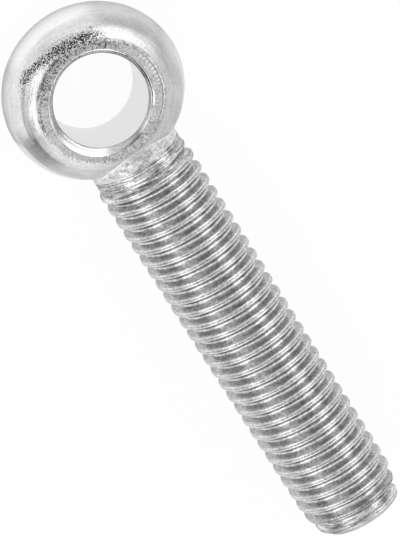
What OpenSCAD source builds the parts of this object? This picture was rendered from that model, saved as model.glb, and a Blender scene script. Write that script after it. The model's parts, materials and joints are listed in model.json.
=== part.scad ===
// Swing eye bolt: a round eye with a cross bore, a short neck and a fully threaded shank.
// One forged piece with a rolled thread. Millimetres.
// The origin is the centre of the bore, the bore runs along Z and the shank points along +X.
// The bolt lies on one flat of the eye and on the crest of its thread.

/* [Eye] */
// Width of the eye across the shank
eye_w = 18; // [17:0.1:20]
// Length of the eye along the shank
eye_l = 17.2; // [16:0.1:20]
// Thickness of the eye between its two flats
eye_t = 10; // [9.8:0.1:12]
// Diameter of the bore
bore_d = 9.3; // [7:0.1:9.8]
// Outer diameter of the flat ring around the bore
flat_d = 12.2; // [11.2:0.1:13]
// Width of the chamfer at each mouth of the bore
chamfer_w = 0.6; // [0.2:0.05:0.65]
// Depth of the chamfer along the bore
chamfer_depth = 0.65; // [0.3:0.05:1.5]

/* [Shank] */
// Distance from the centre of the bore to the end of the shank
length = 51.2; // [40:0.1:65]
// Diameter of the plain neck
neck_d = 9.55; // [9:0.05:9.7]
// Length of the plain neck along its sides
neck_len = 1.2; // [0.8:0.1:5]
// Length of the tapered end
tip_len = 3; // [1:0.1:4]
// Diameter of the end face
tip_d = 8.4; // [7:0.1:8.8]

/* [Thread] */
// Major diameter of the thread
thread_d = 10; // [9.7:0.05:10.2]
// Pitch of the thread
pitch = 1.5; // [1.25:0.05:1.75]
// Width of the flat crest
crest_w = 0.4; // [0.15:0.05:0.45]
// Width of the flat root
root_w = 0.25; // [0.15:0.05:0.4]
// Hand of the thread
thread_hand = "left"; // [left, right]
// Turns over which the thread rises out of the neck
run_out_turns = 0.85; // [0.5:0.05:2]
// Angle around the shank at which the thread starts
start_angle = 275; // [0:5:355]

/* [Hidden] */
steel = [0.78, 0.79, 0.8];

round_fn = 96;
// How far a cut reaches past the face it opens
cut_past = 1;

// The forged eye is a ring of oval section until its two flats are cut.
section_inner_r = 0.3;
section_w = (eye_w / 2 - section_inner_r) / 2;
section_r = eye_w / 2 - section_w;
section_flat = (flat_d / 2 - section_r) / section_w;
section_h = eye_t / 2 / sqrt(1 - section_flat * section_flat);

// The neck leaves the eye at the crease between their sides.
neck_r = neck_d / 2;
crease_x = eye_l / 2 * sqrt(1 - pow(neck_d / eye_w, 2));
neck_end = crease_x + neck_len;

// The depth of the thread follows from its widths and its 60 degree flanks.
thread_depth = (pitch - crest_w - root_w) / 2 / tan(30);
crest_r = thread_d / 2;
root_r = crest_r - thread_depth;
form_x = [0, root_w / 2, (pitch - crest_w) / 2, (pitch + crest_w) / 2, pitch - root_w / 2];
form_r = [root_r, root_r, crest_r, crest_r, root_r];
form_n = len(form_x);

// The thread starts as a plain core inside the neck and runs on past the end, where it is cut.
steps = 24;
plain_turns = 2;
spare_turns = 2;
core_inset = 0.03;
core_r = neck_r - core_inset;
rise_x = neck_end + core_inset;
start_x = rise_x - plain_turns * pitch;
turns = ceil((length - start_x) / pitch) + spare_turns;
last_step = turns * steps;
hand_sign = thread_hand == "left" ? -1 : 1;

function step_x(s, k) = start_x + s / steps * pitch + form_x[k];
function rise(x) = min(1, max(0, (x - rise_x) / pitch / run_out_turns));
function thread_r(s, k) = core_r + (form_r[k] - core_r) * rise(step_x(s, k));
function thread_angle(s) = start_angle + hand_sign * 360 * s / steps;
function thread_point(s, k) = [
    step_x(s, k),
    thread_r(s, k) * cos(thread_angle(s)),
    thread_r(s, k) * sin(thread_angle(s))
];

// Index of a point: the form of one turn ends where that of the next turn begins.
function at(s, k) = k < form_n ? s * form_n + k : (s + steps) * form_n;
function facing(face) = hand_sign > 0 ? face : [face[2], face[1], face[0]];
function fan(hub, loop) = [
    for (i = [0 : len(loop) - 1]) [hub, loop[i], loop[(i + 1) % len(loop)]]
];

// Core and thread in one closed skin that winds around the axis as a ribbon
module thread() {
    skin = [for (s = [0 : last_step], k = [0 : form_n - 1]) thread_point(s, k)];
    start_hub = len(skin);
    end_hub = start_hub + 1;
    hubs = [[start_x, 0, 0], [start_x + (turns + 1) * pitch, 0, 0]];
    ribbon = [
        for (s = [0 : last_step - 1], k = [0 : form_n - 1])
            if (k < form_n - 1 || s + 1 + steps <= last_step)
                each [
                    [at(s, k), at(s, k + 1), at(s + 1, k + 1)],
                    [at(s, k), at(s + 1, k + 1), at(s + 1, k)]
                ]
    ];
    start_loop = concat(
        [for (s = [0 : steps]) at(s, 0)],
        [for (k = [form_n - 1 : -1 : 1]) at(0, k)]
    );
    end_loop = concat(
        [for (k = [0 : form_n - 1]) at(last_step, k)],
        [for (s = [last_step - 1 : -1 : last_step - steps]) at(s, form_n - 1)]
    );
    faces = concat(ribbon, fan(start_hub, start_loop), fan(end_hub, end_loop));
    polyhedron(concat(skin, hubs), [for (face = faces) facing(face)], convexity = 20);
}

module along_shank() {
    rotate([0, 90, 0]) children();
}

module tip_cut() {
    flare = cut_past * (crest_r - tip_d / 2) / tip_len;
    translate([length - tip_len, 0, 0]) along_shank() difference() {
        cylinder(r = crest_r + cut_past, h = tip_len + (spare_turns + 3) * pitch, $fn = round_fn);
        translate([0, 0, -cut_past])
            cylinder(r1 = crest_r + flare, r2 = tip_d / 2, h = tip_len + cut_past, $fn = round_fn);
    }
}

module threaded_shank() {
    difference() {
        thread();
        tip_cut();
    }
}

module eye_blank() {
    intersection() {
        scale([eye_l / eye_w, 1, section_h / section_w])
            rotate_extrude($fn = round_fn)
                translate([section_r, 0]) circle(section_w, $fn = round_fn);
        cube([2 * eye_w, 2 * eye_w, eye_t], center = true);
    }
}

module neck() {
    along_shank() cylinder(r = neck_r, h = neck_end, $fn = round_fn);
}

module bore() {
    bore_r = bore_d / 2;
    cone_h = chamfer_depth + cut_past;
    cone_w = chamfer_w * cone_h / chamfer_depth;
    cylinder(r = bore_r, h = eye_t + 2 * cut_past, center = true, $fn = round_fn);
    for (turn = [0, 180])
        rotate([turn, 0, 0]) translate([0, 0, eye_t / 2 - chamfer_depth])
            cylinder(r1 = bore_r, r2 = bore_r + cone_w, h = cone_h, $fn = round_fn);
}

module eye_bolt() {
    color(steel) {
        difference() {
            union() {
                eye_blank();
                neck();
            }
            bore();
        }
        threaded_shank();
    }
}

eye_bolt();
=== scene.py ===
import json
import math

import bpy
import numpy as np
from mathutils import Matrix, Vector, noise


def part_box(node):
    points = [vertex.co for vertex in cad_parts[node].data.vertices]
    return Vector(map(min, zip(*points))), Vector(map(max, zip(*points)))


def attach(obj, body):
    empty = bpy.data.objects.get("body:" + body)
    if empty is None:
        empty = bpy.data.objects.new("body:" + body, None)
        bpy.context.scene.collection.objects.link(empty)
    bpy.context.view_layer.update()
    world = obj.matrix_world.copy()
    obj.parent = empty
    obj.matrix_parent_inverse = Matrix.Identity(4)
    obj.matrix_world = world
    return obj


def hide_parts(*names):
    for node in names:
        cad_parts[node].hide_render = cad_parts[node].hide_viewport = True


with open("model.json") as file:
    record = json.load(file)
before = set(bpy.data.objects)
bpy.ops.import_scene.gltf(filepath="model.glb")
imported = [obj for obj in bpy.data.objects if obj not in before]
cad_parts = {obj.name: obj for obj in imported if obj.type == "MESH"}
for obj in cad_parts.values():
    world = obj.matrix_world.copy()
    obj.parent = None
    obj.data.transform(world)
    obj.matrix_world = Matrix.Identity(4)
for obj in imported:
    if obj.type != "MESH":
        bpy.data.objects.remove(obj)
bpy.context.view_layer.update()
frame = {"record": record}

# Sizes in millimetres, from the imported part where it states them
MM = 0.001
MOUNTS = {mount["name"]: mount for mount in frame["record"]["mounts"]}
LOW, HIGH = (np.array(corner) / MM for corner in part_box("eye_bolt"))
EYE_W = HIGH[1] - LOW[1]
EYE_L = -2 * LOW[0]
EYE_T = HIGH[2] - LOW[2]
LENGTH = HIGH[0]
BORE_R = MOUNTS["eye_bore"]["dims"]["r_mm"]
BORE_LEN = MOUNTS["eye_bore"]["dims"]["length_mm"]
THREAD_R = MOUNTS["shank_thread"]["dims"]["r_mm"]

# The eye: a ring of oval section, cut by two flats
TOP = EYE_T / 2
OVAL = EYE_L / EYE_W
FLAT_R = 6.1
FLAT_EDGE = 0.14
SECTION_INNER_R = 0.3
SECTION_W = (EYE_W / 2 - SECTION_INNER_R) / 2
SECTION_R = EYE_W / 2 - SECTION_W
SECTION_H = TOP / math.sqrt(1 - ((FLAT_R - SECTION_R) / SECTION_W) ** 2)

# The bore's mouth: a chamfer that is wider at one side, with a rolled outer edge and a rounded lip
WALL_TOP = BORE_LEN / 2
CHAMFER_W = 0.6
MOUTH_R = BORE_R + CHAMFER_W
MOUTH_FLAT = 0.06
MOUTH_BEND = 0.3
MOUTH_SHIFT = 0.34
MOUTH_TURN = math.radians(-55)
MOUTH_LOBE = 3
MOUTH_BASE = 0.5
LIP = 0.06

# The neck and its fillet, which is wider at the sides than on top
NECK_R = 4.775
NECK_END = 7.75
FILLET_TOP = 0.03
FILLET_SIDE = 0.12

# Depth, size and seed of the forging's waves, of the dents on the neck and of the lumps on the crests
WAVES = ((0.07, 5.0, 3.1), (0.025, 1.6, 7.7))
DENTS = ((0.05, 0.8, 1.3), (0.025, 0.4, 4.9))
CREST_LUMPS = ((0.04, 1.8, 5.3),)
WAVE_FADE = 0.6
DENT_X = 6.2
DENT_FADE = 0.5

# The thread, whose crests leave the neck later than its roots but over a shorter length
PITCH = 1.5
CREST_W = 0.4
ROOT_W = 0.25
SLANT = math.tan(math.radians(30))
DEPTH = (PITCH - CREST_W - ROOT_W) / 2 / SLANT
THREAD_X = 0.666
SEAM_DEPTH = 0.13
LUMP_DEPTH = 0.4 * DEPTH
CREST_X = 8.52
CREST_RUN_OUT = 1.28
ROOT_X = 7.8
ROOT_RUN_OUT = 3.6

# The tapered end, where the thread grows shallower, and its rounded edge as shares of its length and insets
TIP_LEN = 3.0
TIP_R = 4.2
TIP_EDGE = 0.18
TIP_BEND = 0.22
TIP_FADE = 0.3
TIP_FADE_LEN = 0.5
TIP_ROUND = ((0.45, 0.05), (0.12, 0.13), (0.0, 0.24))
END_RINGS = (0.97, 0.8, 0.55, 0.3, 0.1)
END_X = LENGTH - TIP_EDGE
FIRST_TURN = math.floor((NECK_END - THREAD_X) / PITCH)
LAST_TURN = math.ceil((END_X - THREAD_X) / PITCH) + 1

# Mesh density: the patch where the neck leaves the eye sets the points around the eye and the shank
SIDE_HALF = 17
TOP_HALF = 10
AROUND = 4 * (SIDE_HALF + TOP_HALF)
SHANK_ANGLES = math.tau * np.arange(AROUND) / AROUND
FLAT_EDGE_ROWS = 5
FLAT_ROWS = 4
ROLLED_ROWS = 7
ROLLED_FLAT_ROWS = 2
CHAMFER_ROWS = 4
LIP_ROWS = 4
BORE_ROWS = 7
PATCH_ROWS = 12
PATCH_ANGLE = math.radians(40)
PATCH_TOP = math.radians(70)
EYE_EASE = 1.6
NECK_EASE = 1.5
FLAT_EDGE_TURN = PATCH_TOP + 0.006
EYE_TURNS = round(math.tau * TOP_HALF / PATCH_ANGLE)
WELD = 0.004
TINY = 1e-6

# Where finishes change: dents on the neck, drawn lines at the thread's ends, a painted highlight on the
# sides of the thread
NECK_FINISH = (6.2, 6.9)
RUN_OUT_FINISH = (9.5, 12.5)
TIP_FINISH = (LENGTH - 2.8, LENGTH - 1.8)
SIDE_HIGHLIGHT = (3.95, 4.15)

# Photograph frame, in pixels, and the camera that took it
IMAGE_W = 400
IMAGE_H = 536
EYE_PIXEL = (93.1, 90.7)
PIXELS_PER_MM = 10.413
SHANK_ANGLE = math.radians(32.45)
VIEW_TILT = math.radians(17.63)
VIEW_ROLL = math.radians(1.5)
CAMERA_MM = 528.0
SENSOR_MM = 36
CLIP_START = 0.01

# Light, as the brightness of a surface where 1 is white
FLOOR_GLOW = 0.95
ROOM_LIGHT = 0.25
AHEAD_LIGHT = 0.25
FRONT_LIGHT = 1.15
BEHIND_LIGHT = 0.75
SIDE_LIGHT = 0.4

# The floor's size and the soft lamps' places and sizes, in metres, with each lamp's brightness
FLOOR_SIZE = 4
LAMPS = {
    "left_light": ((0.25, -0.5, 0.48), (1.4, 0.45), 1.6),
    "right_light": ((-0.1, 0.5, 0.42), (1.2, 0.4), 1.6),
    "back_light": ((-0.6, -0.54, 0.5), (0.5, 0.3), 1.7),
    "top_light": ((0.0, 0.0, 0.9), (0.9, 0.9), 0.9),
}

# Numbers of the finishes, and a distance past every place on the part
FORGED, GROUND, CHAMFER, BORE, THREAD, END, CREASE_HIGHLIGHT = range(7)
FAR = 2 * LENGTH


class Skin:
    """Points, faces and the finish of each face, gathered for one mesh."""

    def __init__(self):
        self.points = []
        self.faces = []
        self.finish = []

    def add(self, points):
        """Adds points and returns their numbers."""
        first = len(self.points)
        self.points.extend(points)
        return np.arange(first, len(self.points))

    def face(self, corners, finish):
        """Adds a face without its repeated corners, where three or more are left."""
        kept = [c for k, c in enumerate(corners) if c != corners[k - 1]]
        if len(kept) > 2:
            self.faces.append(kept)
            self.finish.append(finish)

    def strip(self, row_a, row_b, finish):
        """Quads between two closed rows of equal length. Row b lies to the left of row a's direction."""
        for k in range(len(row_a)):
            n = (k + 1) % len(row_a)
            self.face([row_a[k], row_a[n], row_b[n], row_b[k]], finish)


def clamp(share):
    return min(1.0, max(0.0, share))


def smooth(share):
    """A smooth step from 0 to 1."""
    share = clamp(share)
    return share * share * (3 - 2 * share)


def blend(start, end, share):
    return (1 - share) * start + share * end


def bend(start, corner, end, count):
    """Points that round a corner, both ends included."""
    t = np.linspace(0, 1, count)[:, None]
    start, corner, end = (np.array(p, float) for p in (start, corner, end))
    return (1 - t) ** 2 * start + 2 * t * (1 - t) * corner + t ** 2 * end


def line(start, end, count):
    """Evenly spaced points between two points, without either end."""
    t = np.linspace(0, 1, count + 2)[1:-1, None]
    return blend(np.array(start, float), np.array(end, float), t)


def on_shank(x, radius, angle):
    """A point at a distance from the shank's axis."""
    return (x, radius * math.cos(angle), radius * math.sin(angle))


def dip(point, layers):
    """Depth of smooth noise at a point, summed over layers that each have a depth, a size and a seed."""
    total = 0.0
    for depth, size, seed in layers:
        value = noise.noise(Vector(point) / size + Vector((seed, 2.0 * seed, 0.0)))
        total += depth * clamp(0.5 + 0.6 * value)
    return total


def forged_dip(point):
    """How far the forging lies under its true form."""
    on_neck = clamp((point[0] - DENT_X) / DENT_FADE)
    return dip(point, WAVES) + on_neck * dip(point, DENTS)


def barrel(angle):
    """Radius and height on the forged section at an angle above its middle."""
    return (SECTION_R + SECTION_W * math.cos(angle), SECTION_H * math.sin(angle))


def upper_section():
    """Rows of the eye's upper half, from its equator over the flat and down the bore.

    Each row is a radius, a height and a finish.
    """
    mouth = np.array((MOUTH_R, TOP))
    lip = np.array((BORE_R, WALL_TOP))
    slope = (mouth - lip) / np.linalg.norm(mouth - lip)
    flat_start = (FLAT_R - FLAT_EDGE, TOP)
    flat_end = (MOUTH_R + MOUTH_FLAT, TOP)
    rolled_end = mouth - MOUTH_BEND * slope
    lip_start = lip + LIP * slope
    lip_end = (BORE_R, WALL_TOP - LIP)
    rolled = bend(flat_end, mouth, rolled_end, ROLLED_ROWS)
    stretches = (
        ([barrel(PATCH_TOP * k / SIDE_HALF) for k in range(SIDE_HALF + 1)], FORGED),
        (bend(barrel(FLAT_EDGE_TURN), (FLAT_R, TOP), flat_start, FLAT_EDGE_ROWS), FORGED),
        (line(flat_start, flat_end, FLAT_ROWS), GROUND),
        (rolled[:ROLLED_FLAT_ROWS], GROUND),
        (rolled[ROLLED_FLAT_ROWS:], CHAMFER),
        (line(rolled_end, lip_start, CHAMFER_ROWS), CHAMFER),
        (bend(lip_start, lip, lip_end, LIP_ROWS), CHAMFER),
        (line(lip_end, (BORE_R, 0), BORE_ROWS), BORE),
        ([(BORE_R, 0)], BORE),
    )
    return [(*point, finish) for points, finish in stretches for point in points]


def oval_share(radius):
    """How much of the eye's oval a row takes: none at the bore, all outside the flat."""
    return clamp((radius - MOUTH_R) / (FLAT_R - FLAT_EDGE - MOUTH_R))


def mouth_shift(radius, height, angle):
    """How far a row near the mouth moves out and up, as the chamfer is wider at one side.

    Elsewhere the chamfer is narrower and shallower.
    """
    wider = MOUTH_SHIFT * (max(0.0, math.cos(angle - MOUTH_TURN)) ** MOUTH_LOBE - MOUTH_BASE)
    deeper = min(0.0, wider) * (TOP - WALL_TOP) / CHAMFER_W
    off_mouth = (radius - MOUTH_R) / CHAMFER_W
    side = min(1.0, max(-1.0, height / WALL_TOP))
    return wider * max(0.0, 1 - abs(off_mouth)), -deeper * clamp(-off_mouth) * side


def eye_point(row, angle):
    """Place of a row of the section at an angle around the bore."""
    radius, height, finish = row
    oval = 1 + (OVAL - 1) * oval_share(radius)
    outwards, upwards = mouth_shift(radius, height, angle)
    radius += outwards
    point = Vector((radius * oval * math.cos(angle), radius * math.sin(angle), height + upwards))
    if finish == FORGED:
        fade = clamp((radius - FLAT_R) / WAVE_FADE)
        point.xy *= 1 - fade * forged_dip(point) / radius
    return tuple(point)


def near_start(place, last, half):
    """Whether a place in a closed row lies less than half a width from the row's start."""
    return min(place, last - place) < half


def add_eye(skin):
    """The eye without the patch where the neck leaves it. Returns the border of the patch."""
    half = upper_section()
    section = half + [(radius, -height, finish) for radius, height, finish in half[-2:0:-1]]
    rows = len(section)
    grid = {}
    for k in range(EYE_TURNS):
        for j, row in enumerate(section):
            if not (near_start(k, EYE_TURNS, TOP_HALF) and near_start(j, rows, SIDE_HALF)):
                grid[k, j] = skin.add([eye_point(row, math.tau * k / EYE_TURNS)])[0]
    for k in range(EYE_TURNS):
        for j in range(rows):
            if near_start(k, EYE_TURNS - 1, TOP_HALF) and near_start(j, rows - 1, SIDE_HALF):
                continue
            next_k = (k + 1) % EYE_TURNS
            next_j = (j + 1) % rows
            corners = [grid[k, j], grid[next_k, j], grid[next_k, next_j], grid[k, next_j]]
            skin.face(corners, max(section[j][2], section[next_j][2]))
    return [grid[k % EYE_TURNS, j % rows] for k, j in patch_border()]


def patch_border():
    """Places in the eye's grid along the border of the patch, ordered around the shank."""
    places = [(TOP_HALF, j) for j in range(SIDE_HALF)]
    places += [(k, SIDE_HALF) for k in range(TOP_HALF, -TOP_HALF, -1)]
    places += [(-TOP_HALF, j) for j in range(SIDE_HALF, -SIDE_HALF, -1)]
    places += [(k, -SIDE_HALF) for k in range(-TOP_HALF, TOP_HALF)]
    places += [(TOP_HALF, j) for j in range(-SIDE_HALF, 0)]
    return places


def ring_gap(points):
    """Distance from the forged ring, about, at points in millimetres."""
    out = np.hypot(points[:, 0] / OVAL, points[:, 1])
    across = (out - SECTION_R) / SECTION_W
    up = points[:, 2] / SECTION_H
    level = np.sqrt(across ** 2 + up ** 2)
    steep = np.sqrt((across / SECTION_W) ** 2 + (up / SECTION_H) ** 2) / np.maximum(level, TINY)
    return (level - 1) / steep


def neck_gap(points):
    return np.hypot(points[:, 1], points[:, 2]) - NECK_R


def blended_gap(points):
    """Distance from the eye and the neck with a small fillet between them."""
    ring = ring_gap(points)
    neck = neck_gap(points)
    side = points[:, 1] ** 2 / np.maximum(points[:, 1] ** 2 + points[:, 2] ** 2, TINY)
    fillet = blend(FILLET_TOP, FILLET_SIDE, side)
    share = np.maximum(fillet - np.abs(ring - neck), 0) / fillet
    return np.minimum(ring, neck) - share ** 2 * fillet / 4


def onto_blend(points, passes=6):
    """Moves points to the blended surface along its slope."""
    step = 1e-4
    for _ in range(passes):
        gap = blended_gap(points)
        slope = np.stack(
            [(blended_gap(points + step * axis) - gap) / step for axis in np.eye(3)], axis=1
        )
        points = points - (gap / np.sum(slope ** 2, axis=1))[:, None] * slope
    return points


def crease(angle):
    """Where the neck's line at an angle around the shank leaves the ring."""
    y = NECK_R * math.cos(angle)
    z = NECK_R * math.sin(angle)
    out = SECTION_R + SECTION_W * math.sqrt(1 - (z / SECTION_H) ** 2)
    return (OVAL * math.sqrt(out ** 2 - y ** 2), y, z)


def dipped(point, share):
    """A point of the patch moved in by the forging's dip: towards the eye's axis first, then the shank's."""
    x, y, z = point
    outward = blend(Vector((x, y, 0)), Vector((0, y, z)), share)
    return tuple(Vector(point) - outward.normalized() * forged_dip(point))


def add_patch(skin, border):
    """The fillet between the eye and the neck. Returns the ring of points at the neck's end."""
    starts = np.array([skin.points[k] for k in border])
    creases = np.array([crease(angle) for angle in SHANK_ANGLES])
    ends = np.array([on_shank(NECK_END, NECK_R, angle) for angle in SHANK_ANGLES])
    shares = np.linspace(0, 1, PATCH_ROWS + 1)[1:]
    rows = [blend(starts, creases, 1 - (1 - t) ** EYE_EASE) for t in shares]
    rows += [blend(creases, ends, t ** NECK_EASE) for t in shares]
    last = np.array(border)
    for k, row in enumerate(rows, 1):
        ring = skin.add([dipped(point, k / len(rows)) for point in onto_blend(row)])
        # The two rows at the crease get the painted highlight.
        skin.strip(last, ring, CREASE_HIGHLIGHT if k in (PATCH_ROWS - 1, PATCH_ROWS) else FORGED)
        last = ring
    return last


def form_rows():
    """Places along one pitch, from the middle of a root to the next, and the depth of the form there."""
    lip_x = CREST_W / 2
    from_crest = [
        (0.0, SEAM_DEPTH),
        (0.03, 0.85 * SEAM_DEPTH),
        (0.065, 0.3 * SEAM_DEPTH),
        (0.095, 0.04 * SEAM_DEPTH),
        (0.125, 0.0),
        (lip_x - 0.04, 0.008),
        (lip_x + 0.01, 0.035),
        (lip_x + SLANT * 0.08, 0.08),
        (lip_x + SLANT * 0.14, 0.14),
        (lip_x + SLANT * 0.4, 0.4),
        (lip_x + SLANT * 0.66, 0.655),
        (lip_x + SLANT * 0.735, 0.705),
        (lip_x + SLANT * DEPTH + 0.06, DEPTH - 0.005),
        (PITCH / 2, DEPTH),
    ]
    rising = [(PITCH / 2 - x, depth) for x, depth in from_crest[::-1]]
    falling = [(PITCH / 2 + x, depth) for x, depth in from_crest[1:-1]]
    return rising + falling


def tip_limit(x):
    """Radius of the crests, which follow the tapered end with a soft bend."""
    taper = TIP_R + (THREAD_R - TIP_R) * (LENGTH - x) / TIP_LEN
    share = max(TIP_BEND - abs(taper - THREAD_R), 0) / TIP_BEND
    return min(taper, THREAD_R) - share * share * TIP_BEND / 4


def thread_radius(x, depth, angle):
    """Radius of the thread at a place along the shank, where its form has a depth."""
    place = on_shank(x, THREAD_R, angle)
    fade = TIP_FADE * smooth(1 - (END_X - x) / TIP_FADE_LEN)
    full = tip_limit(x) - depth * (1 - fade)
    full -= dip(place, CREST_LUMPS) * max(0.0, 1 - depth / LUMP_DEPTH)
    if full > NECK_R:
        rise = smooth((x - CREST_X) / CREST_RUN_OUT)
    else:
        rise = smooth((x - ROOT_X) / ROOT_RUN_OUT)
    base = NECK_R - forged_dip(place) * (1 - rise)
    return base + (full - base) * rise


def thread_tip(skin, form):
    """The ring of points at the end of the thread."""
    form_x, form_depth = zip(*form)
    points = []
    for i, angle in enumerate(SHANK_ANGLES):
        phase = (END_X - THREAD_X + PITCH * i / AROUND) % PITCH
        depth = np.interp(phase, form_x, form_depth, period=PITCH)
        points.append(on_shank(END_X, thread_radius(END_X, depth, angle), angle))
    return skin.add(points)


def thread_column(skin, form, i, start, end):
    """Points of the thread's form along the shank at one angle, from the neck's point to the end's."""
    angle = SHANK_ANGLES[i]
    column = []
    for turn in range(FIRST_TURN, LAST_TURN + 1):
        for form_x, depth in form:
            x = THREAD_X + PITCH * (turn - i / AROUND) + form_x
            if x < NECK_END + WELD:
                column.append(start)
            elif x > END_X - WELD:
                column.append(end)
            else:
                point = on_shank(x, thread_radius(x, depth, angle), angle)
                column.append(skin.add([point])[0])
    return column


def add_thread(skin, neck):
    """The threaded shank as a ribbon along the helix. Returns the ring of points at its end."""
    form = form_rows()
    tip = thread_tip(skin, form)
    columns = [thread_column(skin, form, i, neck[i], tip[i]) for i in range(AROUND)]
    # After a turn around the shank the ribbon meets its own first column, one pitch further on.
    columns.append([neck[0]] * len(form) + columns[0])
    for column, following in zip(columns, columns[1:]):
        for j in range(len(column) - 1):
            skin.face([column[j], following[j], following[j + 1], column[j + 1]], THREAD)
    return tip


def add_end(skin, tip):
    """The rounded edge and the flat face at the end of the shank."""
    outer = [math.hypot(*skin.points[k][1:]) for k in tip]
    face_inset = TIP_ROUND[-1][1]
    rings = [(LENGTH - TIP_EDGE * back, inset, 1.0) for back, inset in TIP_ROUND]
    rings += [(LENGTH, face_inset, share) for share in END_RINGS]
    last = tip
    for x, inset, share in rings:
        points = [on_shank(x, (r - inset) * share, angle) for r, angle in zip(outer, SHANK_ANGLES)]
        ring = skin.add(points)
        skin.strip(last, ring, END)
        last = ring
    middle = skin.add([(LENGTH, 0.0, 0.0)])[0]
    skin.strip(last, [middle] * AROUND, END)


def build_bolt():
    """The whole bolt as one closed mesh."""
    skin = Skin()
    border = add_eye(skin)
    neck = add_patch(skin, border)
    tip = add_thread(skin, neck)
    add_end(skin, tip)
    points = [tuple(c * MM for c in point) for point in skin.points]
    faces = [[int(c) for c in face] for face in skin.faces]
    mesh = bpy.data.meshes.new("eye_bolt_steel")
    mesh.from_pydata(points, [], faces)
    mesh.polygons.foreach_set("material_index", skin.finish)
    mesh.polygons.foreach_set("use_smooth", [True] * len(mesh.polygons))
    mesh.validate()
    bolt = bpy.data.objects.new("eye_bolt_steel", mesh)
    bpy.context.collection.objects.link(bolt)
    return bolt


class Graph:
    """Nodes of a material or a world, made and linked in short calls."""

    def __init__(self, tree):
        self.tree = tree

    def link(self, output, socket):
        self.tree.links.new(output, socket)

    def node(self, kind, inputs, **settings):
        """First output of a new node. An input is a socket to link or a value to set."""
        node = self.tree.nodes.new(kind)
        for key, value in settings.items():
            setattr(node, key, value)
        for socket, value in zip(node.inputs, inputs):
            if isinstance(value, bpy.types.NodeSocket):
                self.link(value, socket)
            else:
                socket.default_value = value
        return node.outputs[0]

    def split(self, vector):
        node = self.tree.nodes.new("ShaderNodeSeparateXYZ")
        self.link(vector, node.inputs[0])
        return node.outputs

    def math(self, operation, a, b=0.0):
        return self.node("ShaderNodeMath", [a, b], operation=operation)

    def minus(self, a, b):
        return self.math("SUBTRACT", a, b)

    def absolute(self, value):
        return self.math("ABSOLUTE", value)

    def total(self, *levels):
        result = levels[0]
        for level in levels[1:]:
            result = self.math("ADD", result, level)
        return result

    def times(self, *levels):
        result = levels[0]
        for level in levels[1:]:
            result = self.math("MULTIPLY", result, level)
        return result

    def length(self, a, b):
        return self.math("SQRT", self.total(self.times(a, a), self.times(b, b)))

    def step(self, value, low, high, start=0.0, end=1.0):
        """A smooth step from one level to another between two values."""
        inputs = [value, low, high, start, end]
        return self.node("ShaderNodeMapRange", inputs, interpolation_type="SMOOTHSTEP")

    def fall(self, value, low, high):
        """A smooth step from 1 down to 0 between two values."""
        return self.step(value, low, high, 1.0, 0.0)

    def between(self, value, low, high, soft):
        """1 between two values and 0 outside them, with soft ends."""
        return self.times(self.step(value, low - soft, low), self.fall(value, high, high + soft))

    def spot(self, *ranges):
        """1 where each value lies in its range. A range is a value, its two ends and how soft they are."""
        return self.times(*(self.between(*part) for part in ranges))

    def mix(self, share, low, high):
        """A level between two levels."""
        return self.node("ShaderNodeMapRange", [share, 0.0, 1.0, low, high])

    def swing(self, share, level):
        """A change by up to a level, down for a share of 0 and up for a share of 1."""
        return self.mix(share, -level, level)


class Finish(Graph):
    """A steel material and the nodes of its detail. Places are in millimetres and turns in radians."""

    def __init__(self, name, edge_tint=0.4):
        self.material = bpy.data.materials.new(name)
        self.material.use_nodes = True
        super().__init__(self.material.node_tree)
        self.shader = self.tree.nodes["Principled BSDF"]
        self.shader.inputs["Metallic"].default_value = 1
        self.shader.inputs["Specular Tint"].default_value = (edge_tint, edge_tint, edge_tint, 1)
        where = self.tree.nodes.new("ShaderNodeTexCoord").outputs["Object"]
        scale = (1 / MM, 1 / MM, 1 / MM)
        self.place = self.node("ShaderNodeVectorMath", [where, scale], operation="MULTIPLY")
        self.x, self.y, self.z = self.split(self.place)

    def around_eye(self):
        """Distance from the bore's axis, evened for the oval, and turn from the side opposite the neck."""
        reach = self.length(self.times(self.x, 1 / OVAL), self.y)
        turn = self.math("ARCTAN2", self.times(self.y, -1.0), self.times(self.x, -1.0))
        return reach, turn

    def around_shank(self):
        """Distance from the shank's axis and turn from the top."""
        return self.length(self.y, self.z), self.math("ARCTAN2", self.y, self.z)

    def grain(self, place, size, detail=3.0, rough=0.55):
        """Noise around 0.5 with lumps of a size."""
        node = self.tree.nodes.new("ShaderNodeTexNoise")
        self.link(place, node.inputs["Vector"])
        node.inputs["Scale"].default_value = 1 / size
        node.inputs["Detail"].default_value = detail
        node.inputs["Roughness"].default_value = rough
        return node.outputs["Fac"]

    def streaks(self, values, counts, detail=3.0, rough=0.55):
        """Noise over three values, with a count of lumps in one unit of each."""
        vector = self.node("ShaderNodeCombineXYZ", values)
        place = self.node("ShaderNodeVectorMath", [vector, counts], operation="MULTIPLY")
        return self.grain(place, 1.0, detail, rough)

    def colour(self, *levels):
        """Grey of a total level as the base colour."""
        grey = self.node("ShaderNodeClamp", [self.total(*levels), 0.05, 1.0])
        self.link(grey, self.shader.inputs["Base Color"])

    def roughness(self, *levels):
        self.link(self.total(*levels), self.shader.inputs["Roughness"])

    def bump(self, depth, *heights):
        node = self.tree.nodes.new("ShaderNodeBump")
        node.inputs["Strength"].default_value = 1.0
        node.inputs["Distance"].default_value = depth * MM
        self.link(self.total(*heights), node.inputs["Height"])
        self.link(node.outputs["Normal"], self.shader.inputs["Normal"])


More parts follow.
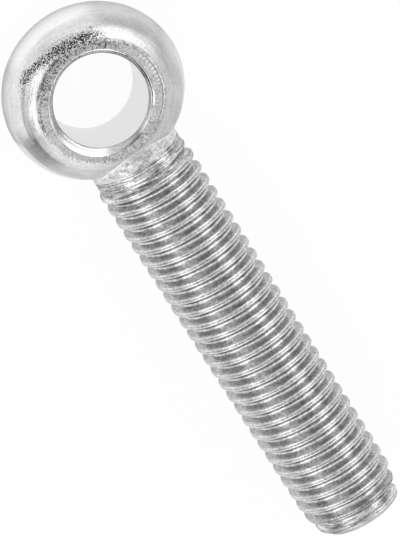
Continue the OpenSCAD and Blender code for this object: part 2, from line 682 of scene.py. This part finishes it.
def pitted_share(finish, reach, turn):
    """Where the shoulder opposite the neck is pitted: a ragged band that moves outwards towards one end."""
    ragged = finish.swing(finish.grain(finish.place, 0.7, 4.0, 0.7), 0.5)
    middle = finish.total(finish.step(turn, 0.0, 0.85, 6.62, 7.72), ragged)
    width = finish.step(turn, -0.1, 0.6, 0.54, 0.32)
    off = finish.math("DIVIDE", finish.absolute(finish.minus(reach, middle)), width)
    along = finish.between(finish.total(turn, finish.times(ragged, 0.5)), -0.35, 0.68, 0.3)
    return finish.times(finish.fall(off, 0.3, 1.7), along, finish.step(finish.z, 0.0, 1.0))


def pitted_level(finish, turn, pits, speckle):
    """Change of the steel's level by the pits, which grow sparse towards the edges of their band."""
    spared = finish.minus(speckle, finish.times(pits, 0.2))
    pit = finish.times(finish.step(pits, 0.02, 0.2), finish.fall(spared, 0.3, 0.37))
    shade = finish.step(turn, 0.1, 0.5, -0.2, -0.06)
    return finish.total(finish.times(pits, shade), finish.times(pit, -0.65))


def polished_share(finish, reach, edge):
    """Where the eye is polished: opposite the neck, and further round one side near the flat."""
    near_flat = finish.step(edge, -1.6, -0.8)
    on_shoulder = finish.step(edge, -0.75, -0.15)
    start = finish.mix(finish.step(reach, 7.2, 7.7), near_flat, on_shoulder)
    return finish.times(start, finish.fall(edge, 1.5, 1.6))


def faced_level(finish, reach, turn, polished, pits):
    """Change of the steel's level around the flat: a dark ring, a ragged edge, a painted highlight along its
    rim at one side.
    """
    fine = finish.grain(finish.place, 0.25, 3.0, 0.8)
    ring = finish.fall(reach, FLAT_R + 0.15, FLAT_R + 0.5)
    ragged = finish.mix(finish.step(fine, 0.4, 0.6), -0.2, 0.12)
    edge = finish.times(finish.fall(reach, FLAT_R - 0.07, FLAT_R - 0.02), finish.step(fine, 0.4, 0.55))
    # Painted highlight along the flat's rim at one side, with a darker ragged line just inside it.
    rim = finish.between(reach, FLAT_R - 0.02, FLAT_R + 0.04, 0.04)
    right = finish.between(turn, -2.3, -1.5, 0.35)
    return finish.total(
        finish.times(ring, finish.mix(polished, -0.06, -0.45), finish.mix(pits, 1.0, 0.0)),
        finish.times(finish.fall(reach, FLAT_R + 0.1, FLAT_R + 0.3), ragged),
        finish.times(rim, right, 0.3),
        finish.times(edge, right, -0.35),
    )


def painted_light_and_patch_level(finish, reach, turn, edge):
    """Change of the steel's level on the eye: painted highlights at the sides and the front, painted shade
    at both sides and along a dark line, a darker ring outside the flat and a darker patch on one side.
    """
    off_middle = finish.absolute(turn)
    # Painted highlights: lighter low on both sides and at the front, where lamps reflect.
    painted_side_highlights = finish.spot((off_middle, 1.75, 2.4, 0.2), (reach, 8.6, FAR, 0.3))
    painted_front_highlight = finish.spot((turn, -0.25, 0.5, 0.3), (reach, 8.7, FAR, 0.55))
    # Darker just outside the flat, away from the front.
    darker_surround = finish.spot((off_middle, 1.35, FAR, 0.25), (reach, 6.2, 7.2, 0.2))
    # Painted shade: darker at the right and left of the shoulder, and a painted dark line at the left.
    painted_right_shade = finish.spot((turn, -1.35, -0.6, 0.2), (reach, 7.7, FAR, 0.5))
    painted_left_shade = finish.spot((turn, 1.0, 1.5, 0.2), (reach, 6.8, 7.5, 0.2))
    painted_dark_line = finish.spot((turn, 0.7, 1.45, 0.1), (reach, 7.52, 7.62, 0.1))
    # A darker patch on one side, beyond the polished part.
    dark_patch = finish.times(
        finish.step(edge, 1.35, 1.55), finish.fall(turn, 1.7, 2.3), finish.between(reach, 7.3, 8.4, 0.25)
    )
    return finish.total(
        finish.times(painted_side_highlights, 0.2),
        finish.times(painted_front_highlight, 0.25),
        finish.times(darker_surround, -0.055),
        finish.times(painted_right_shade, -0.12),
        finish.times(painted_left_shade, -0.12),
        finish.times(painted_dark_line, -0.15),
        finish.times(dark_patch, -0.3),
    )


def forged_steel():
    """Forged skin: polished opposite the neck, dull and with painted shade towards it, with painted
    highlights and shade on the eye, pitted on a shoulder, dented on the neck.
    """
    finish = Finish("forged_steel", 0.55)
    reach, turn = finish.around_eye()
    wrap = finish.around_shank()[1]
    cloud = finish.grain(finish.place, 2.0, 4.0)
    fine = finish.grain(finish.place, 0.3, 4.0, 0.65)
    speckle = finish.grain(finish.place, 0.15, 1.0, 0.6)
    brushed = finish.streaks((turn, reach, finish.z), (3.0, 5.0, 2.0), 4.0, 0.6)
    dents = finish.streaks((finish.x, wrap, 0.0), (2.2, 5.0, 1.0), 4.0, 0.65)
    edge = finish.total(turn, finish.swing(cloud, 0.2), finish.swing(fine, 0.1))
    pits = pitted_share(finish, reach, turn)
    polished = polished_share(finish, reach, edge)
    dull_and_shaded = finish.minus(1.0, polished)
    neck = finish.step(finish.x, *NECK_FINISH)
    finish.colour(
        finish.mix(cloud, 0.68, 0.94),
        finish.swing(fine, 0.18),
        finish.times(finish.swing(brushed, 0.18), finish.mix(polished, 0.4, 1.0)),
        # Painted shade: the dull side is darker towards the flats and a little lighter at its equator.
        finish.times(dull_and_shaded, finish.step(finish.absolute(finish.z), 1.5, 4.3, 0.1, -0.24)),
        faced_level(finish, reach, turn, polished, pits),
        # Painted highlights and painted shade on the eye.
        painted_light_and_patch_level(finish, reach, turn, edge),
        pitted_level(finish, turn, pits, speckle),
        finish.times(neck, finish.mix(finish.step(dents, 0.3, 0.7), -0.18, 0.1)),
        finish.times(neck, finish.swing(finish.step(fine, 0.3, 0.7), 0.14)),
    )
    finish.roughness(finish.mix(cloud, 0.12, 0.28), finish.times(dull_and_shaded, 0.2))
    finish.bump(
        0.12,
        finish.times(fine, 0.25),
        finish.times(brushed, 0.3),
        finish.times(speckle, pits),
        finish.times(dents, neck),
    )
    return finish.material


def ground_steel():
    """The flat around the bore: rough from facing, pitted opposite the neck, with ticks at one side."""
    finish = Finish("ground_steel")
    reach, turn = finish.around_eye()
    rays = finish.streaks((turn, reach, 0.0), (20.0, 1.2, 1.0), 3.0, 0.7)
    fine = finish.grain(finish.place, 0.2, 3.0, 0.8)
    cloud = finish.grain(finish.place, 1.2, 3.0)
    chatter = finish.math("SINE", finish.total(finish.times(turn, 84.0), finish.swing(cloud, 3.0)))
    ticks = finish.times(
        finish.step(chatter, 0.2, 0.8), finish.between(turn, -1.8, -1.25, 0.1), finish.step(reach, 5.5, 5.7)
    )
    by_neck = finish.times(finish.step(finish.absolute(turn), 2.2, 2.6), 0.25)
    outer = finish.step(reach, 5.3, 6.0, 0.6, 1.35)
    pitted = finish.times(finish.total(finish.between(turn, -0.7, 0.9, 0.25), by_neck), outer)
    speckle = finish.total(fine, finish.times(rays, 0.3))
    specks = finish.times(pitted, finish.fall(speckle, 0.55, 0.68))
    finish.colour(
        finish.mix(cloud, 0.4, 0.52),
        finish.swing(finish.step(fine, 0.35, 0.65), 0.1),
        finish.swing(finish.step(rays, 0.35, 0.65), 0.08),
        finish.times(ticks, 0.4),
        finish.times(pitted, -0.08),
        finish.times(specks, -0.25),
    )
    finish.roughness(finish.mix(fine, 0.2, 0.44))
    finish.bump(0.12, finish.times(rays, 0.7), fine, ticks)
    return finish.material


def chamfer_steel():
    """The turned mouth of the bore: bright with fine rings, with painted shade in broken dark lines at one
    side, dark along its lip.
    """
    finish = Finish("chamfer_steel")
    turn = finish.around_eye()[1]
    rings = finish.streaks((turn, 0.0, finish.z), (1.6, 1.0, 6.0), 4.0, 0.65)
    fine = finish.grain(finish.place, 0.2, 3.0, 0.8)
    by_neck = finish.total(finish.fall(turn, -2.4, -2.1), finish.step(turn, 2.9, 3.1))
    # Painted shade: broken dark lines on one side of the chamfer, standing for a dark reflection.
    painted_shade_side = finish.total(finish.between(turn, -2.1, -0.9, 0.3), finish.times(by_neck, 0.2))
    lines = finish.math("SINE", finish.total(finish.times(finish.z, 36.0), finish.swing(rings, 6.0)))
    wider_lines = finish.between(turn, -1.6, -1.1, 0.2)
    painted_shade_lines = finish.times(painted_shade_side, finish.fall(finish.minus(lines, wider_lines), -0.8, -0.3))
    lip = finish.fall(finish.length(finish.x, finish.y), BORE_R + 0.01, BORE_R + 0.06)
    rim = finish.step(finish.absolute(finish.z), TOP - 0.12, TOP - 0.06)
    edge = finish.times(by_neck, rim, finish.step(fine, 0.4, 0.5))
    worn = finish.between(turn, -0.7, 1.5, 0.4)
    finish.colour(
        finish.mix(rings, 0.72, 1.02),
        finish.times(worn, finish.mix(finish.step(fine, 0.35, 0.65), -0.27, 0.0)),
        finish.times(painted_shade_lines, -0.75),
        finish.times(lip, -0.4),
        finish.times(edge, -0.4),
    )
    finish.roughness(finish.mix(rings, 0.06, 0.18))
    finish.bump(0.05, rings)
    return finish.material


def bore_steel():
    """The smooth satin wall of the bore with faint lines around it."""
    finish = Finish("bore_steel", 1.0)
    turn = finish.math("ARCTAN2", finish.y, finish.x)
    lines = finish.streaks((turn, 0.0, finish.z), (1.0, 1.0, 3.0), 4.0)
    finish.colour(finish.mix(lines, 0.74, 0.92))
    finish.roughness(finish.mix(lines, 0.28, 0.42))
    finish.bump(0.02, lines)
    return finish.material


def thread_steel():
    """Rolled thread: crests and roots lighter than the flanks, as painted highlight and painted shade,
    streaked along the helix, most at its ends.
    """
    finish = Finish("thread_steel", 0.65)
    reach, turn = finish.around_shank()
    root_r = THREAD_R - DEPTH
    lead = finish.minus(finish.x, finish.times(turn, PITCH / math.tau))
    rolled = finish.streaks((lead, turn, 0.0), (6.0, 3.5, 1.0), 5.0, 0.7)
    drawn = finish.streaks((lead, turn, 3.0), (8.0, 2.0, 1.0), 2.0)
    fine = finish.grain(finish.place, 0.28, 4.0, 0.75)
    ends = finish.total(finish.fall(finish.x, *RUN_OUT_FINISH), finish.step(finish.x, *TIP_FINISH))
    crest = finish.step(reach, THREAD_R - 0.2, THREAD_R - 0.06)
    root = finish.fall(reach, root_r + 0.04, root_r + 0.12)
    side = finish.step(finish.absolute(finish.y), *SIDE_HIGHLIGHT)
    finish.colour(
        # Painted highlight on the crests and roots, painted shade on the flanks.
        finish.mix(finish.math("MAXIMUM", crest, root), 0.45, 0.66),
        finish.swing(rolled, 0.32),
        finish.times(ends, finish.swing(finish.step(drawn, 0.4, 0.6), 0.2)),
        finish.swing(finish.step(fine, 0.3, 0.7), 0.16),
        # Painted highlight on the sides of the shank.
        finish.times(side, 0.07),
    )
    finish.roughness(finish.mix(rolled, 0.03, 0.17))
    finish.bump(0.035, rolled, finish.times(fine, 0.6))
    return finish.material


def end_steel():
    """The end face with faint turning rings."""
    finish = Finish("end_steel")
    reach, turn = finish.around_shank()
    rings = finish.streaks((reach, turn, 0.0), (5.0, 1.0, 1.0), 3.0)
    finish.colour(finish.mix(rings, 0.5, 0.8))
    finish.roughness(finish.mix(rings, 0.26, 0.42))
    finish.bump(0.03, rings)
    return finish.material


def crease_steel():
    """A painted highlight: the bright line where the eye meets the neck."""
    finish = Finish("crease_steel", 1.0)
    fine = finish.grain(finish.place, 0.5, 3.0)
    finish.colour(finish.mix(fine, 0.82, 1.1))
    finish.roughness(finish.mix(fine, 0.4, 0.6))
    finish.bump(0.02, fine)
    return finish.material


def make_floor():
    """A pale floor that keeps the bolt's shadow and is nearly white to the camera and in reflections."""
    bpy.ops.mesh.primitive_plane_add(size=FLOOR_SIZE, location=(0, 0, LOW[2] * MM))
    floor = bpy.context.object
    floor.name = "floor"
    material = bpy.data.materials.new("floor_white")
    material.use_nodes = True
    graph = Graph(material.node_tree)
    nodes = graph.tree.nodes
    shader = nodes["Principled BSDF"]
    shader.inputs["Base Color"].default_value = (0.9, 0.9, 0.9, 1)
    shader.inputs["Roughness"].default_value = 0.8
    path = nodes.new("ShaderNodeLightPath").outputs
    seen = graph.math("MAXIMUM", path["Is Camera Ray"], path["Is Glossy Ray"])
    seen = graph.math("MAXIMUM", seen, path["Is Transmission Ray"])
    glow = graph.node("ShaderNodeEmission", [])
    parts = [graph.times(seen, FLOOR_GLOW), shader.outputs[0], glow]
    graph.link(graph.node("ShaderNodeMixShader", parts), nodes["Material Output"].inputs["Surface"])
    floor.data.materials.append(material)


def make_world():
    """A dim room, less dim ahead, and bright low down ahead, behind the right side and at the left."""
    world = bpy.data.worlds.new("studio")
    world.use_nodes = True
    bpy.context.scene.world = world
    graph = Graph(world.node_tree)
    nodes = graph.tree.nodes
    x, y, z = graph.split(nodes.new("ShaderNodeTexCoord").outputs["Generated"])
    behind = graph.times(graph.minus(y, x), math.sqrt(0.5))
    bright = graph.total(
        graph.step(x, 0.35, 0.8, 0.0, FRONT_LIGHT),
        graph.step(behind, 0.4, 0.75, 0.0, BEHIND_LIGHT),
        graph.step(y, -0.7, -0.2, SIDE_LIGHT, 0.0),
    )
    low = graph.fall(z, 0.22, 0.4)
    ahead = graph.step(x, 0.1, 0.6, 0.0, AHEAD_LIGHT)
    background = nodes["Background"]
    background.inputs["Color"].default_value = (1, 1, 1, 1)
    strength = graph.total(graph.times(bright, low), ahead, ROOM_LIGHT)
    graph.link(strength, background.inputs["Strength"])


def camera_axes():
    """Right, up and backward of the camera, in the part's frame."""
    tilted_z = np.array([math.sin(VIEW_TILT), 0, math.cos(VIEW_TILT)])
    across = np.array([0, 1, 0])
    # The part's axes in the picture's frame: down the shank, across it and towards the camera.
    part_x = np.array([math.cos(VIEW_TILT), 0, -math.sin(VIEW_TILT)])
    part_y = math.cos(VIEW_ROLL) * across - math.sin(VIEW_ROLL) * tilted_z
    part_z = math.cos(VIEW_ROLL) * tilted_z + math.sin(VIEW_ROLL) * across
    to_part = np.stack([part_x, part_y, part_z])
    right = to_part @ np.array([math.sin(SHANK_ANGLE), math.cos(SHANK_ANGLE), 0])
    up = to_part @ np.array([-math.cos(SHANK_ANGLE), math.sin(SHANK_ANGLE), 0])
    back = to_part @ np.array([0, 0, 1])
    return right, up, back


def make_camera():
    """The photograph's camera: the bore's centre falls on its pixel, at the photograph's scale."""
    right, up, back = camera_axes()
    aside = (IMAGE_W / 2 - EYE_PIXEL[0]) / PIXELS_PER_MM
    below = (IMAGE_H / 2 - EYE_PIXEL[1]) / PIXELS_PER_MM
    place = (aside * right - below * up + CAMERA_MM * back) * MM
    data = bpy.data.cameras.new("camera")
    data.sensor_fit = "VERTICAL"
    data.sensor_height = SENSOR_MM
    data.lens = SENSOR_MM * CAMERA_MM * PIXELS_PER_MM / IMAGE_H
    data.clip_start = CLIP_START
    camera = bpy.data.objects.new("camera", data)
    matrix = Matrix((right, up, back)).transposed().to_4x4()
    matrix.translation = Vector(place)
    camera.matrix_world = matrix
    bpy.context.collection.objects.link(camera)
    bpy.context.scene.camera = camera


def soft_box(name, place, size, radiance):
    """A soft rectangular lamp that faces the origin, as bright as a surface of a radiance."""
    data = bpy.data.lights.new(name, "AREA")
    data.shape = "RECTANGLE"
    data.size, data.size_y = size
    data.energy = radiance * math.pi * size[0] * size[1]
    lamp = bpy.data.objects.new(name, data)
    lamp.location = place
    lamp.rotation_euler = (-Vector(place)).to_track_quat("-Z", "Y").to_euler()
    bpy.context.collection.objects.link(lamp)


bolt = build_bolt()
# In the order of the finishes' numbers
for make_finish in (
    forged_steel, ground_steel, chamfer_steel, bore_steel, thread_steel, end_steel, crease_steel
):
    bolt.data.materials.append(make_finish())
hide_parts("eye_bolt")
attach(bolt, "root")

make_floor()
make_world()
make_camera()
for lamp_name, (lamp_place, lamp_size, lamp_radiance) in LAMPS.items():
    soft_box(lamp_name, lamp_place, lamp_size, lamp_radiance)
bpy.context.scene.view_settings.view_transform = "Standard"
